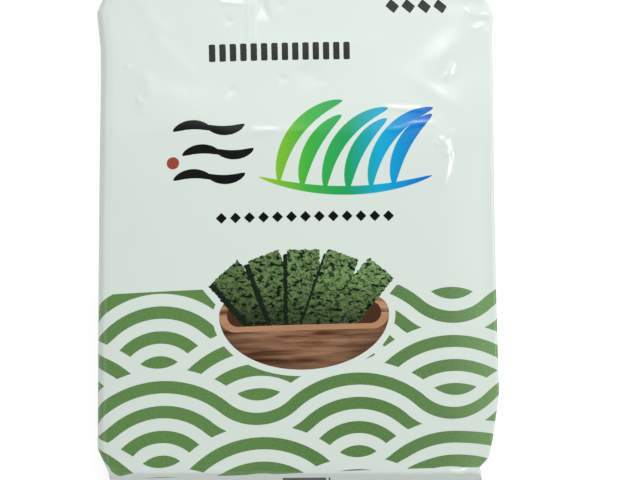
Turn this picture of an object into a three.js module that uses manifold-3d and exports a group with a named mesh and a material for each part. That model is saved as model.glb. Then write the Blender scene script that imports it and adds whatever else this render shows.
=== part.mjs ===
// A sealed film pack of dried seaweed, lying on its back with the printed front up.
// The film is a tube wrapped round a shallow tray: flat front, back and sides, a fin seal
// down the back, and at each end the sides tucked in between front and back, where the film
// runs down to a flat ribbed seal with a zigzag cut edge.
// Millimetres: +X across the pack, +Y towards its upper end, +Z up out of the front.

import * as THREE from 'three';
import { mergeVertices } from 'three/addons/utils/BufferGeometryUtils.js';
import Module from 'manifold-3d';

// The wrapped tray
const FRONT_WIDTH = 81; // across the front, side to side
const BACK_WIDTH = 76; // across the back: the tray narrows towards its floor
const THICKNESS = 28;
const TRAY_LENGTH = 89; // between the front's corners, along the pack
const FRONT_BULGE = 0.8; // how much higher the front's middle is than its long edges
const CORNER_RADIUS = 3; // along the four long edges

// The ends
const FOLD_LENGTH = 99.6; // between the creases where the front turns down
const FOLD_WIDTH = 74.8; // across the front at those creases
const FOLD_DROP = 2; // the creases lie this far below the front's middle
const BACK_FLAT_LENGTH = 94; // length of the back that lies on the table
const TUCK_DEPTH = 14; // how far the sides go in at an end seal
const TUCK_AT_FOLD = 3; // and how far at the crease

// The end seals
const SEAL_GAP = 114; // between the inner edges of the two end seals
const SEAL_DEPTH = 10; // inner edge to cut edge
const SEAL_WIDTH = 77;
const SEAL_HEIGHT = 14; // mid height of the seal's inner edge
const SEAL_DROOP = 1.5; // how far the cut edge hangs below the inner edge
const SEAL_THICKNESS = 0.6; // the layers pressed together
const ROOT_THICKNESS = 1.2; // the layers just before the seal
const RIB_COUNT = 6;
const RIB_PITCH = 1.5;
const RIB_HEIGHT = 0.6;
const TOOTH_COUNT = 52;
const TOOTH_DEPTH = 0.9;

// The back
const RECESS_DEPTH = 0.6; // the back's middle is clear of the table by this much
const RECESS_WIDTH = 44;
const RECESS_RAMP = 2;
const FIN_WIDTH = 9.5; // the fin seal lies flat, from the middle towards -X
const FIN_THICKNESS = 0.5;

// How finely the curved stretches are divided
const FRONT_STEPS = 8; // half the front
const ARC_STEPS = 4; // each rounded edge
const SIDE_STEPS = 8; // each side, an even number so that the tuck has its own line
const TRAY_STEPS = 10;
const SHOULDER_STEPS = 5;
const END_STEPS = 7;
const JOIN = 1; // how far joined solids reach into each other

const { lerp, smoothstep } = THREE.MathUtils;
const TRAY_END = TRAY_LENGTH / 2;
const FOLD = FOLD_LENGTH / 2;
const ROOT = SEAL_GAP / 2;
const BACK_END = BACK_FLAT_LENGTH / 2;

const wasm = await Module();
wasm.setup();

// A closed geometry as a solid that can be joined and cut.
function solid(geometry) {
  geometry.deleteAttribute('normal');
  geometry.deleteAttribute('uv');
  const merged = mergeVertices(geometry, 1e-4);
  return new wasm.Manifold(
    new wasm.Mesh({
      numProp: 3,
      vertProperties: merged.attributes.position.array,
      triVerts: new Uint32Array(merged.index.array),
    }),
  );
}

// A straight line from `a` at distance `from` to `b` at distance `to`, level outside.
const ramp = (distance, from, to, a, b) =>
  lerp(a, b, THREE.MathUtils.clamp((distance - from) / (to - from), 0, 1));

// What the outline across the pack measures at a distance from the middle, along the pack.
function outlineSizes(along) {
  const y = Math.abs(along);
  const past = smoothstep(y, TRAY_END, ROOT);
  return {
    half:
      y < FOLD
        ? lerp(FRONT_WIDTH, FOLD_WIDTH, smoothstep(y, TRAY_END, FOLD)) / 2
        : ramp(y, FOLD, ROOT, FOLD_WIDTH, SEAL_WIDTH) / 2,
    backHalf: ramp(y, BACK_END, ROOT, BACK_WIDTH, SEAL_WIDTH) / 2,
    front:
      y < FOLD
        ? THICKNESS - FOLD_DROP * (y / FOLD) ** 4
        : ramp(y, FOLD, ROOT, THICKNESS - FOLD_DROP, SEAL_HEIGHT + ROOT_THICKNESS / 2),
    back: ramp(y, BACK_END, ROOT, 0, SEAL_HEIGHT - ROOT_THICKNESS / 2),
    tuck:
      y < FOLD
        ? ramp(y, TRAY_END, FOLD, 0, TUCK_AT_FOLD)
        : ramp(y, FOLD, ROOT, TUCK_AT_FOLD, TUCK_DEPTH),
    radius: lerp(CORNER_RADIUS, ROOT_THICKNESS / 4, past),
    bulge: lerp(FRONT_BULGE, 0, past),
    recess: lerp(RECESS_DEPTH, 0, smoothstep(y, BACK_END, ROOT)),
  };
}

// The outline across the pack: the right half from the middle of the front, over the
// rounded edge, down the tucked side and in to the middle of the back, then its mirror.
function outline(along) {
  const s = outlineSizes(along);
  const right = [];
  const frontFlat = s.half - s.radius;
  const edgeTop = s.front - s.bulge;
  for (let i = 0; i <= FRONT_STEPS; i++) {
    const across = i / FRONT_STEPS;
    right.push([frontFlat * across, s.front - s.bulge * across ** 2]);
  }
  for (let i = 1; i <= ARC_STEPS; i++) {
    const turn = ((Math.PI / 2) * i) / ARC_STEPS;
    right.push([
      frontFlat + s.radius * Math.sin(turn),
      edgeTop - s.radius * (1 - Math.cos(turn)),
    ]);
  }
  const sideTop = edgeTop - s.radius;
  const sideBottom = s.back + s.radius;
  for (let i = 1; i < SIDE_STEPS; i++) {
    const down = i / SIDE_STEPS;
    const inwards = s.tuck * (1 - Math.abs(2 * down - 1));
    right.push([lerp(s.half, s.backHalf, down) - inwards, lerp(sideTop, sideBottom, down)]);
  }
  const backFlat = s.backHalf - s.radius;
  for (let i = 0; i <= ARC_STEPS; i++) {
    const turn = ((Math.PI / 2) * i) / ARC_STEPS;
    right.push([
      backFlat + s.radius * Math.cos(turn),
      sideBottom - s.radius * Math.sin(turn),
    ]);
  }
  const recessHalf = RECESS_WIDTH / 2;
  for (const x of [(backFlat + recessHalf + RECESS_RAMP) / 2, recessHalf + RECESS_RAMP])
    right.push([x, s.back]);
  for (const x of [recessHalf, recessHalf / 2, 0]) right.push([x, s.back + s.recess]);
  const left = right.slice(1, -1).reverse();
  return [...right, ...left.map(([x, z]) => [-x, z])];
}

// Where the outline is taken, from one seal's inner edge to the other's.
function stations() {
  const stretch = (from, to, steps) =>
    Array.from({ length: steps }, (_, i) => lerp(from, to, (i + 1) / steps));
  const upper = [
    ...stretch(0, TRAY_END, TRAY_STEPS / 2),
    ...stretch(TRAY_END, FOLD, SHOULDER_STEPS),
    ...stretch(FOLD, ROOT, END_STEPS),
  ];
  return [...upper.map((y) => -y).reverse(), 0, ...upper];
}

// The wrapped body: the outlines joined one to the next, with both ends closed.
function body() {
  const places = stations();
  const rings = places.map(outline);
  const count = rings[0].length;
  const positions = rings.flatMap((ring, k) => ring.flatMap(([x, z]) => [x, places[k], z]));
  const faces = [];
  for (let k = 0; k + 1 < rings.length; k++)
    for (let i = 0; i < count; i++) {
      const a = k * count + i;
      const b = k * count + ((i + 1) % count);
      faces.push(a, b, a + count, b, b + count, a + count);
    }
  const end = rings[0].map(([x, z]) => new THREE.Vector2(x, z));
  const last = (rings.length - 1) * count;
  for (const [a, b, c] of THREE.ShapeUtils.triangulateShape(end, []))
    faces.push(a, b, c, last + a, last + c, last + b);
  const geometry = new THREE.BufferGeometry();
  geometry.setAttribute('position', new THREE.Float32BufferAttribute(positions, 3));
  geometry.setIndex(faces);
  return geometry;
}

// A profile drawn along the pack, y against z, carried across it from x = from to x = to.
function acrossPack(points, from, to) {
  const shape = new THREE.Shape(points.map(([y, z]) => new THREE.Vector2(y, z)));
  const geometry = new THREE.ExtrudeGeometry(shape, { depth: to - from, bevelEnabled: false });
  const turn = new THREE.Matrix4().makeBasis(
    new THREE.Vector3(0, 1, 0),
    new THREE.Vector3(0, 0, 1),
    new THREE.Vector3(1, 0, 0),
  );
  return geometry.applyMatrix4(turn).translate(from, 0, 0);
}

// The upper end seal: a sheet pressed into ribs that run across the pack, cut to the
// outline of the seal, whose outer edge is a row of teeth.
function endSeal() {
  const tip = ROOT + SEAL_DEPTH;
  const sheetZ = (y) => SEAL_HEIGHT - SEAL_DROOP * (Math.max(y - ROOT, 0) / SEAL_DEPTH) ** 2;
  const ribStart = ROOT + (SEAL_DEPTH - RIB_COUNT * RIB_PITCH) / 2;
  const middle = [[ROOT - JOIN, SEAL_HEIGHT]];
  for (let i = 0; i <= 4 * RIB_COUNT; i++) {
    const y = ribStart + (i * RIB_PITCH) / 4;
    const side = i % 4 < 2 ? -1 : 1; // two points along each hollow, then two along each rib
    middle.push([y, sheetZ(y) + (side * RIB_HEIGHT) / 2]);
  }
  middle.push([tip + JOIN, sheetZ(tip)]);
  const half = SEAL_THICKNESS / 2;
  const lower = middle.map(([y, z]) => [y, z - half]);
  const upper = middle.map(([y, z]) => [y, z + half]).reverse();
  const sheet = acrossPack([...lower, ...upper], -SEAL_WIDTH, SEAL_WIDTH);

  const edge = new THREE.Shape();
  edge.moveTo(-SEAL_WIDTH / 2, ROOT - 2 * JOIN).lineTo(SEAL_WIDTH / 2, ROOT - 2 * JOIN);
  for (let i = 0; i <= 2 * TOOTH_COUNT; i++) {
    const x = SEAL_WIDTH * (0.5 - i / (2 * TOOTH_COUNT));
    edge.lineTo(x, i % 2 ? tip : tip - TOOTH_DEPTH);
  }
  const cutter = new THREE.ExtrudeGeometry(edge, { depth: THICKNESS, bevelEnabled: false });
  return solid(sheet).intersect(solid(cutter));
}

// The fin seal: a flat strip against the back, following it up to both end seals.
function finSeal() {
  const places = stations().filter((y) => Math.abs(y) >= TRAY_END);
  const under = places.map((y) => {
    const s = outlineSizes(y);
    return [y, s.back + s.recess];
  });
  const lower = under.map(([y, z]) => [y, z - FIN_THICKNESS]);
  const upper = under.map(([y, z]) => [y, z + FIN_THICKNESS / 2]).reverse();
  return acrossPack([...lower, ...upper], -FIN_WIDTH, 0);
}

// The whole pack, one shut film surface, so its pieces are joined into one solid.
function filmPack() {
  const seal = endSeal();
  const joined = solid(body()).add(seal).add(seal.rotate([0, 0, 180])).add(solid(finSeal()));
  const { vertProperties, triVerts } = joined.getMesh();
  const geometry = new THREE.BufferGeometry();
  geometry.setAttribute('position', new THREE.BufferAttribute(vertProperties, 3));
  geometry.setIndex(new THREE.BufferAttribute(triVerts, 1));
  geometry.computeVertexNormals();
  const film = new THREE.MeshStandardMaterial({ color: 0xdce7e0, roughness: 0.35, metalness: 0 });
  const mesh = new THREE.Mesh(geometry, film);
  mesh.name = 'film_pack';
  return mesh;
}

const group = new THREE.Group();
group.add(filmPack());
export default group;
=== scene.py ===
"""A sealed film pack of dried seaweed on a white table, seen from straight above its printed front.

One web of printed laminate is wrapped round a shallow tray: it is closed by a flat fin seal down the back
and by a ribbed seal at each end, where the sides are tucked in between front and back.
"""
from functools import partialmethod, reduce

import bpy
import numpy as np
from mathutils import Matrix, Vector


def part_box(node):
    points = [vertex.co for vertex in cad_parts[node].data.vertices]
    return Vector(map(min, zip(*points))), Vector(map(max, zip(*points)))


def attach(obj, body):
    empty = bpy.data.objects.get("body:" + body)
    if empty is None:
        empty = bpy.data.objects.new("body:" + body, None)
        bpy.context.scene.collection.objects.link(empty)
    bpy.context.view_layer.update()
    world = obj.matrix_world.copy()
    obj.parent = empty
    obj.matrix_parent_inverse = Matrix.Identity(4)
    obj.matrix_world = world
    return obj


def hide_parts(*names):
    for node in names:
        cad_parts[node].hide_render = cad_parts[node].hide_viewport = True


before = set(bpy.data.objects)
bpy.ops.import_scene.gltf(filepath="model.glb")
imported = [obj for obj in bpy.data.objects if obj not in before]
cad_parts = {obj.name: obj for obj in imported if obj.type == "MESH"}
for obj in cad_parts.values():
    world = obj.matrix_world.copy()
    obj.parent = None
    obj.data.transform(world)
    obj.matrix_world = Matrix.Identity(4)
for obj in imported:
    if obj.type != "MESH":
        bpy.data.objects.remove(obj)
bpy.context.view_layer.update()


# The wrapped body
# The real piece is laminate 0.05 mm thick, pulled tight over a tray 28 mm deep that narrows towards its
# floor. It is flat where the tray holds it, creased where it turns down to the end seals, and slack
# elsewhere.
mm = 0.001
low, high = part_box("film_pack")
THICKNESS = high.z - low.z
SEAL_DEPTH = 10 * mm
ROOT = high.y - SEAL_DEPTH  # an end seal's inner edge, from the middle of the pack
FOLD = 49.8 * mm  # the creases where the front turns down
BACK_END = 47 * mm  # where the back leaves the table
FRONT_BULGE = 1.0 * mm  # the front's middle stands this much over its long edges
LOWER_DROP = 1.3 * mm  # and this much over its creased lower end
UPPER_DROP = 1.8 * mm  # and this much over its upper end
BEND = 20.4 * mm  # from here to its upper end the front slopes evenly
BEND_SOFTNESS = 0.7 * mm
FOLD_SOFTNESS = 0.28 * mm
SEAL_WIDTH = 77 * mm
SEAL_HEIGHT = 14 * mm
ROOT_THICKNESS = 0.7 * mm  # the layers of film where they run into a seal
BACK_WIDTH = 76 * mm
LEFT_RADIUS = 2.6 * mm
RIGHT_RADIUS = 0.7 * mm  # the tray's rim presses the film into a tighter edge here
CREASE_RADIUS = 0.3 * mm
LEAST_HEIGHT = 2.2  # the pack is at least this many edge radii high
CORNER_START = FOLD - 5 * mm  # between these the long edges become creases and the tucks start
CORNER_END = FOLD + 1 * mm
FADE_START = FOLD - 4 * mm  # from here to the seal the front's bulge and the back's recess die away
TUCK_DEPTH = 14 * mm
TUCK_AT_FOLD = 3 * mm
TUCK_SHARPENS = ROOT - 2 * mm  # from the fold to here the tuck becomes a sharp fold
RECESS_WIDTH = 44 * mm
RECESS_RAMP = 2 * mm
RECESS_DEPTH = 0.6 * mm
ROUND_POINTS, BACK_POINTS, SIDE_POINTS, FRONT_POINTS = 7, 18, 19, 110  # in half the outline

# The outline seen from the front: distance along the pack, and from its middle line to its edge. The
# tray's corners push the film out, and it is pinched in at the creases.
LEFT_EDGE = np.array([
    (-57, 38.5), (-49.8, 38.6), (-44.9, 41.1), (-36, 41.0), (6, 40.7), (30, 40.4), (37, 40.45), (44.7, 41.3),
    (49.8, 38.8), (57, 38.5),
]) * mm
RIGHT_EDGE = np.array([
    (-57, 38.5), (-51, 37.8), (-50.1, 37.5), (-48.8, 36.9), (-46.4, 39.2), (-45.6, 39.3), (-42.5, 39.9),
    (-33.5, 41.15), (-14, 40.6), (6, 40.2), (40, 39.8), (44, 40.0), (49.8, 37.4), (57, 38.5),
]) * mm
CORNER_SOFTNESS = 0.5 * mm


def mix(a, b, share):
    """The value that lies the given share of the way from a to b."""
    return a + (b - a) * share


def rise(value, start, end):
    """0 before start, 1 after end, and the smooth curve 3t^2 - 2t^3 between them."""
    t = np.clip((value - start) / (end - start), 0, 1)
    return t * t * (3 - 2 * t)


def lesser(a, b, softness):
    """The smaller of two values, with the corner between them rounded: -s log(exp(-a/s) + exp(-b/s))."""
    return -softness * np.logaddexp(-a / softness, -b / softness)


def edge_at(along, points):
    """The edge's distance from the middle line: straight from point to point, then averaged with bell-shaped
    weights over two softnesses either way, which rounds its corners."""
    near = np.linspace(-2, 2, 17)
    weight = np.exp(-near**2 / 2)
    spread = np.interp(along[:, None] + near * CORNER_SOFTNESS, points[:, 0], points[:, 1])
    return (spread * weight).sum(1) / weight.sum()


def heights(along):
    """The front's and the back's height above the table at each distance along the pack.

    Towards its lower end the front falls with the fourth power of the distance, and towards its upper end
    straight from the bend; from the folds it runs straight down to the seals. The back is level, then rises
    in a straight line. Each pair of lines meets in a tight curve."""
    y = abs(along)
    upper = np.logaddexp(0, (along - BEND) / BEND_SOFTNESS) * BEND_SOFTNESS / (FOLD - BEND)
    flat = THICKNESS - np.where(along < 0, LOWER_DROP * (y / FOLD) ** 4, UPPER_DROP * upper)
    top = SEAL_HEIGHT + ROOT_THICKNESS / 2
    fold_height = THICKNESS - np.where(along < 0, LOWER_DROP, UPPER_DROP)
    down = mix(fold_height, top, (y - FOLD) / (ROOT - FOLD))
    front = np.maximum(lesser(flat, down, FOLD_SOFTNESS), top)
    bottom = SEAL_HEIGHT - ROOT_THICKNESS / 2
    up = mix(0, bottom, (y - BACK_END) / (ROOT - BACK_END))
    back = np.clip(-lesser(-up, 0 * up, FOLD_SOFTNESS), 0, bottom)
    return front, back


def half_outline(along, edge, edge_radius):
    """Half the outline across the pack at each place along it, from the back's middle to the front's: the
    distance from the middle line and the height, as a row of points for each place.

    It is the back with its shallow recess, a quarter circle, the side as a straight line pushed in by the
    tuck, a quarter circle, and the front as a shallow curve that falls with the cube of the distance."""
    y = abs(along)[:, None]
    edge = edge[:, None]
    front, back = (h[:, None] for h in heights(along))
    past = rise(y, FADE_START, ROOT)
    corner = rise(y, CORNER_START, CORNER_END)
    radius = mix(edge_radius, CREASE_RADIUS, corner)
    radius = np.minimum(radius, (front - back) / LEAST_HEIGHT)
    base = mix(BACK_WIDTH, SEAL_WIDTH, rise(y, BACK_END, ROOT)) / 2
    bulge = FRONT_BULGE * (1 - past)
    tuck = np.where(y < FOLD, TUCK_AT_FOLD * corner, 0)
    tuck = np.maximum(tuck, mix(TUCK_AT_FOLD / 2, TUCK_DEPTH, (y - FOLD) / (ROOT - FOLD)))
    quarter = np.linspace(0, np.pi / 2, ROUND_POINTS, endpoint=False)[None, :]

    x_back = (base - radius) * np.linspace(0, 1, BACK_POINTS, endpoint=False)
    recess = 1 - rise(x_back, RECESS_WIDTH / 2, RECESS_WIDTH / 2 + RECESS_RAMP)
    z_back = back + RECESS_DEPTH * (1 - past) * recess
    x_low = base - radius + radius * np.sin(quarter)
    z_low = back + radius - radius * np.cos(quarter)
    up = np.linspace(0, 1, SIDE_POINTS, endpoint=False)[None, :]
    sharp = 1 - abs(2 * up - 1)
    inwards = tuck * mix(np.sin(np.pi * up), sharp, rise(y, FOLD, TUCK_SHARPENS))
    x_side = mix(base, edge, up) - inwards
    z_side = mix(back + radius, front - bulge - radius, up)
    x_high = edge - radius + radius * np.cos(quarter)
    z_high = front - bulge - radius + radius * np.sin(quarter)
    across = np.linspace(1, 0, FRONT_POINTS)[None, :]
    x_front = (edge - radius) * across
    z_front = front - bulge * across**3
    return (
        np.concatenate([x_back, x_low, x_side, x_high, x_front], 1),
        np.concatenate([z_back, z_low, z_side, z_high, z_front], 1),
    )


def film_points(along):
    """The film's points, as rows that go round the pack from the back's middle by its left side."""
    x_left, z_left = half_outline(along, edge_at(along, LEFT_EDGE), LEFT_RADIUS)
    x_right, z_right = half_outline(along, edge_at(along, RIGHT_EDGE), RIGHT_RADIUS)
    x = np.concatenate([-x_left, x_right[:, -2:0:-1]], 1)
    z = np.concatenate([z_left, z_right[:, -2:0:-1]], 1)
    return np.stack([x, np.broadcast_to(along[:, None], x.shape), z], 2)


def normals(points):
    """Outward directions of a tube of points: the cross product of its lines around and along."""
    around = np.roll(points, -1, 1) - np.roll(points, 1, 1)
    forward = np.gradient(points, axis=0)
    out = np.cross(around, forward)
    return out / np.linalg.norm(out, axis=2, keepdims=True)


def ridge(g, l, route, height, width):
    """A crease along a route of points on the film: height times exp(-(d / width)^2), d being the distance
    to the route, times 1 - (2t - 1)^4, t being the share of the route passed, so that both ends fade out."""
    route = np.array(route, float)
    steps = np.diff(route, axis=0)
    sizes = np.hypot(*steps.T)
    passed = np.cumsum(sizes) - sizes
    nearest, share = np.full(g.shape, np.inf), np.zeros(g.shape)
    for start, step, size, before in zip(route, steps, sizes, passed):
        t = np.clip(((g - start[0]) * step[0] + (l - start[1]) * step[1]) / size**2, 0, 1)
        distance = np.hypot(g - start[0] - t * step[0], l - start[1] - t * step[1])
        share = np.where(distance < nearest, (before + t * size) / sizes.sum(), share)
        nearest = np.minimum(nearest, distance)
    return height * np.exp(-((nearest / width) ** 2)) * (1 - (2 * share - 1) ** 4)


def swell(g, l, centre, turn, size, height):
    """An oval rise of the film: height times exp(-(u^2 + v^2)), u and v being the distances along and across
    its long axis over its size in each direction. The long axis is turned by so many degrees."""
    cosine, sine = np.cos(np.radians(turn)), np.sin(np.radians(turn))
    u = ((g - centre[0]) * cosine + (l - centre[1]) * sine) / size[0]
    v = ((l - centre[1]) * cosine - (g - centre[0]) * sine) / size[1]
    return height * np.exp(-(u**2) - v**2)


def dent(g, l, centre, sides, depth):
    """A flat-sided dent with its deepest point at the centre: -depth (1 - t), where t is the largest of the
    distances towards its sides, each over that side's own. Sides are (direction in degrees, distance), and
    the softness rounds the edges between them."""
    softness = 0.07
    t = np.full(g.shape, -np.inf)
    for direction, distance in sides:
        turn = np.radians(direction)
        ahead = ((g - centre[0]) * np.cos(turn) + (l - centre[1]) * np.sin(turn)) / distance
        t = np.logaddexp(t, ahead / softness)
    t = t * softness
    return -depth * softness * np.logaddexp(0, (1 - t) / softness)


def beyond(value, start, softness):
    """How far a value lies past the start, and 0 before it, its corner rounded: s log(1 + exp(x / s))."""
    return softness * np.logaddexp(0, (value - start) / softness)


def billow(g, l, height, size, seed):
    """Soft unevenness: the height times the mean of six sine waves of about the given length, each in its
    own direction and with its own start."""
    draw = np.random.RandomState(seed)
    total = 0
    count = 6
    for _ in range(count):
        turn, start = draw.uniform(0, np.pi), draw.uniform(0, 2 * np.pi)
        wave = size * draw.uniform(0.7, 1.4)
        total = total + np.sin(2 * np.pi * (g * np.cos(turn) + l * np.sin(turn)) / wave + start)
    return height * total / count


# What shows on the front, in millimetres on the flat film. A crease is its route, height and half width; a
# swell its centre, turn, half sizes and height; a dent its centre, its sides and its depth.
CREASES = [
    ([(16.9, 25.15), (19.4, 24.9), (26.4, 24.6)], 0.060, 0.50),
    ([(17.0, 21.0), (19.2, 20.5), (20.8, 20.6), (23.3, 21.6), (25.9, 21.9), (28.6, 21.5)], 0.055, 0.50),
    ([(31.9, 20.9), (30.4, 18.8), (29.3, 18.0)], 0.05, 0.45),
    ([(29.0, 19.0), (29.6, 17.6), (30.6, 16.9), (30.8, 14.7), (30.4, 12.2), (29.7, 10.0), (29.3, 8.0)],
     0.095, 0.60),
    ([(28.0, 18.4), (29.2, 16.8)], 0.08, 0.45),
    ([(28.6, 19.4), (30.0, 17.8), (31.2, 18.2)], 0.08, 0.45),
    ([(29.4, 16.2), (31.4, 15.0)], 0.06, 0.45),
    ([(-10.1, 47.5), (-10.0, 37.6)], 0.075, 0.40),
    ([(-9.0, 47.5), (-9.0, 38.2)], 0.075, 0.40),
    ([(34.6, 45.4), (35.9, 44.3), (39.6, 43.8)], 0.05, 0.45),
    ([(36.3, 41.2), (38.8, 42.4)], 0.04, 0.45),
    ([(-16.5, 46.6), (-10.5, 46.3)], 0.06, 0.50),
    ([(29.0, -32.9), (31.6, -32.4), (33.4, -32.6)], 0.10, 0.60),
    ([(28.6, -37.5), (30.4, -37.9), (32.4, -37.4)], 0.10, 0.60),
    ([(-13.0, -48.9), (-8.5, -48.5), (-3.5, -48.8)], 0.06, 0.45),
    ([(-39.6, -48.8), (-37.4, -49.6), (-35.0, -51.0)], 0.14, 0.50),
    ([(-39.0, -50.6), (-36.2, -51.8)], -0.12, 0.60),
    ([(32.6, -49.2), (35.4, -49.9), (38.4, -48.4)], 0.24, 0.60),
    ([(34.0, -50.8), (37.0, -50.2), (38.6, -51.6)], -0.18, 0.60),
    ([(36.4, -46.8), (38.6, -48.2)], 0.12, 0.60),
    ([(31.7, 34.6), (31.2, 32.2), (29.6, 30.8)], 0.06, 0.60),
    ([(-35.4, 33.9), (-34.8, 32.9)], 0.08, 0.50),
    ([(-33.0, 27.8), (-32.6, 26.2), (-31.2, 25.6)], 0.06, 0.50),
    ([(-10.5, 20.25), (-7.0, 20.2), (-3.6, 20.3)], 0.10, 0.8),
    ([(-5, 20.3), (4.5, 20.4)], 0.05, 0.9),
    ([(-33.5, 51), (-30.2, 43.6), (-27.7, 41.2), (-28.8, 39.4), (-27.7, 37.7), (-25, 34.8), (-20, 30)],
     0.09, 1.7),
    ([(-32.6, 32.8), (-30.9, 30.4), (-30.4, 27.5), (-33.2, 23.8)], 0.06, 1.4),
    ([(-16, 38.5), (0, 36.5), (18, 38.8)], 0.05, 3.0),
    ([(-34, -20), (-30, -5), (-32, 8)], 0.05, 3.0),
    ([(-20, -38), (-2, -34), (14, -37)], 0.06, 3.4),
]
SWELLS = [
    ((-25.5, 25.6), -8, (9.0, 5.0), 0.30),
    ((29.0, 35.2), 47, (6.0, 3.0), 0.22),
    ((28.2, 28.0), -33, (5.0, 1.8), 0.11),
    ((31.3, 32.4), 60, (2.2, 0.7), 0.04),
]
DENTS = [
    ((2.2, 31.8), [(30, 3.4), (120, 2.6), (200, 3.2), (280, 3.0)], 0.11),
    ((-7.3, 46.4), [(10, 1.4), (95, 2.0), (180, 1.3), (265, 3.6)], 0.20),
    ((38.0, 42.9), [(30, 2.0), (150, 2.6), (255, 1.8)], 0.08),
    ((-14.1, 42.9), [(60, 0.9), (180, 1.0), (300, 1.1)], 0.08),
    ((-13.9, 28.6), [(60, 1.2), (180, 1.0), (300, 1.2)], 0.09),
    ((-3.3, 31.1), [(60, 1.0), (180, 0.9), (300, 1.2)], 0.08),
    ((-3.5, 46.0), [(60, 0.9), (180, 0.9), (300, 0.9)], 0.07),
]
FRONT_FADE = (37, 41)  # where the front ends and the sides start, across the film
END_FADE = (51, 56)  # where an end panel starts, along the film
CRUMPLED_LINE, CRUMPLED_REACH = 50, 1.3  # the film is crumpled close to its folds
# Soft unevenness: the height of its waves, their length and their seed.
FRONT_WAVES, UPPER_WAVES = (0.10, 34, 3), (0.05, 17, 8)
UPPER_FADE = (-30, 30)  # the upper waves grow between these
FOLD_CRUMPLE, FOLD_WAVES = (0.07, 3.4, 14), (0.12, 15, 15)
SIDE_WAVES, SIDE_CRUMPLE = (0.35, 26, 5), (0.12, 11, 6)
END_CRUMPLE, END_SQUEEZE = (0.15, 9, 9), 0.3  # on an end panel, distances along the film count for this much
# Pleats run down an end panel from its fold to its seal; each number drawn lies between two limits.
PLEATS_AT_END = 11
PLEAT_SPREAD = 33
PLEAT_STARTS, PLEAT_END = (50.6, 55.6), 66
PLEAT_CLOSING, PLEAT_DRIFT = 0.9, (-2.5, 2.5)  # each runs to this share of its distance across, and drifts
PLEAT_HEIGHTS, PLEAT_WIDTHS = (0.12, 0.4), (0.8, 2.0)
# Creases run down a side from the front's edge.
CREASES_AT_SIDE = 6
SIDE_SPREAD = 42
SIDE_TOPS, SIDE_FEET = (42, 46), (54, 60)
SIDE_CLOSING, SIDE_DRIFT = 0.8, (-9, 9)
SIDE_HEIGHTS, SIDE_WIDTHS = (-0.35, 0.25), (1.2, 3.0)
SLACK_STARTS, SLACK_ENDS = (43, 50), (58, 64)  # across the film, the part of a side that nothing holds
SLACK_LENGTH = (40, 48)  # it dies away along the film between these
RIM_START, RIM_RISE, RIM_START_SOFTNESS = 16, 0.025, 2.5  # on the right the film rises to the tray's rim
RIM_LINE, RIM_FALL, RIM_SOFTNESS = 30.3, 0.055, 0.5  # and slopes down from it
RIM_LOWER, RIM_UPPER = (-46, -16), (8, 40)  # along the film it comes up and dies away between these


def relief(g, l):
    """How far the film stands out from its even shape, in millimetres, at places on the flat film.

    The front has soft unevenness, crumpled folds and the creases, swells and dents above. Each end has
    pleats from the fold to the seal, and the sides are creased, and slack between the tray's corners."""
    front = 1 - rise(abs(g), *FRONT_FADE)
    end = rise(abs(l), *END_FADE)
    fold = np.exp(-(((abs(l) - CRUMPLED_LINE) / CRUMPLED_REACH) ** 2)) * front
    total = (billow(g, l, *FRONT_WAVES) + billow(g, l, *UPPER_WAVES) * rise(l, *UPPER_FADE)) * front
    total = total + (billow(g, l, *FOLD_CRUMPLE) + billow(g, l, *FOLD_WAVES)) * fold
    for shape, places in ((ridge, CREASES), (swell, SWELLS), (dent, DENTS)):
        for place in places:
            total = total + shape(g, l, *place)
    rim = RIM_RISE * beyond(g, RIM_START, RIM_START_SOFTNESS)
    rim = rim - (RIM_RISE + RIM_FALL) * beyond(g, RIM_LINE, RIM_SOFTNESS)
    total = total + rim * rise(l, *RIM_LOWER) * (1 - rise(l, *RIM_UPPER)) * front

    draw = np.random.RandomState(21)
    for sign in (-1, 1):
        for n in range(PLEATS_AT_END):
            top = mix(-PLEAT_SPREAD, PLEAT_SPREAD, (n + draw.uniform(0.2, 0.8)) / PLEATS_AT_END)
            foot = top * PLEAT_CLOSING + draw.uniform(*PLEAT_DRIFT)
            route = [(top, sign * draw.uniform(*PLEAT_STARTS)), (foot, sign * PLEAT_END)]
            height = draw.uniform(*PLEAT_HEIGHTS) * draw.choice([-1, 1])
            total = total + ridge(g, l, route, height, draw.uniform(*PLEAT_WIDTHS))
        for n in range(CREASES_AT_SIDE):
            top = sign * draw.uniform(*SIDE_TOPS)
            at = mix(-SIDE_SPREAD, SIDE_SPREAD, (n + draw.uniform(0.2, 0.8)) / CREASES_AT_SIDE)
            foot = sign * draw.uniform(*SIDE_FEET)
            route = [(top, at), (foot, at * SIDE_CLOSING + draw.uniform(*SIDE_DRIFT))]
            height = draw.uniform(*SIDE_HEIGHTS)
            total = total + ridge(g, l, route, height, draw.uniform(*SIDE_WIDTHS))
    slack = rise(abs(g), *SLACK_STARTS) * (1 - rise(abs(g), *SLACK_ENDS)) * (1 - rise(abs(l), *SLACK_LENGTH))
    total = total + slack * (billow(g, l, *SIDE_WAVES) + billow(g, l, *SIDE_CRUMPLE))
    return total + end * front * billow(g, l * END_SQUEEZE, *END_CRUMPLE)


def new_object(name, data):
    """A new object in the scene."""
    made = bpy.data.objects.new(name, data)
    bpy.context.scene.collection.objects.link(made)
    return made


def film_piece(name, points, faces, uv):
    """A smooth piece from its points and faces. Its UV map, called film, holds the place of each face's
    corners on the flat film, in millimetres."""
    mesh = bpy.data.meshes.new(name)
    mesh.from_pydata(points, [], faces)
    mesh.uv_layers.new(name="film").uv.foreach_set("vector", uv.astype(np.float32).ravel())
    mesh.shade_smooth()
    mesh.validate()
    return new_object(name, mesh)


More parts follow.
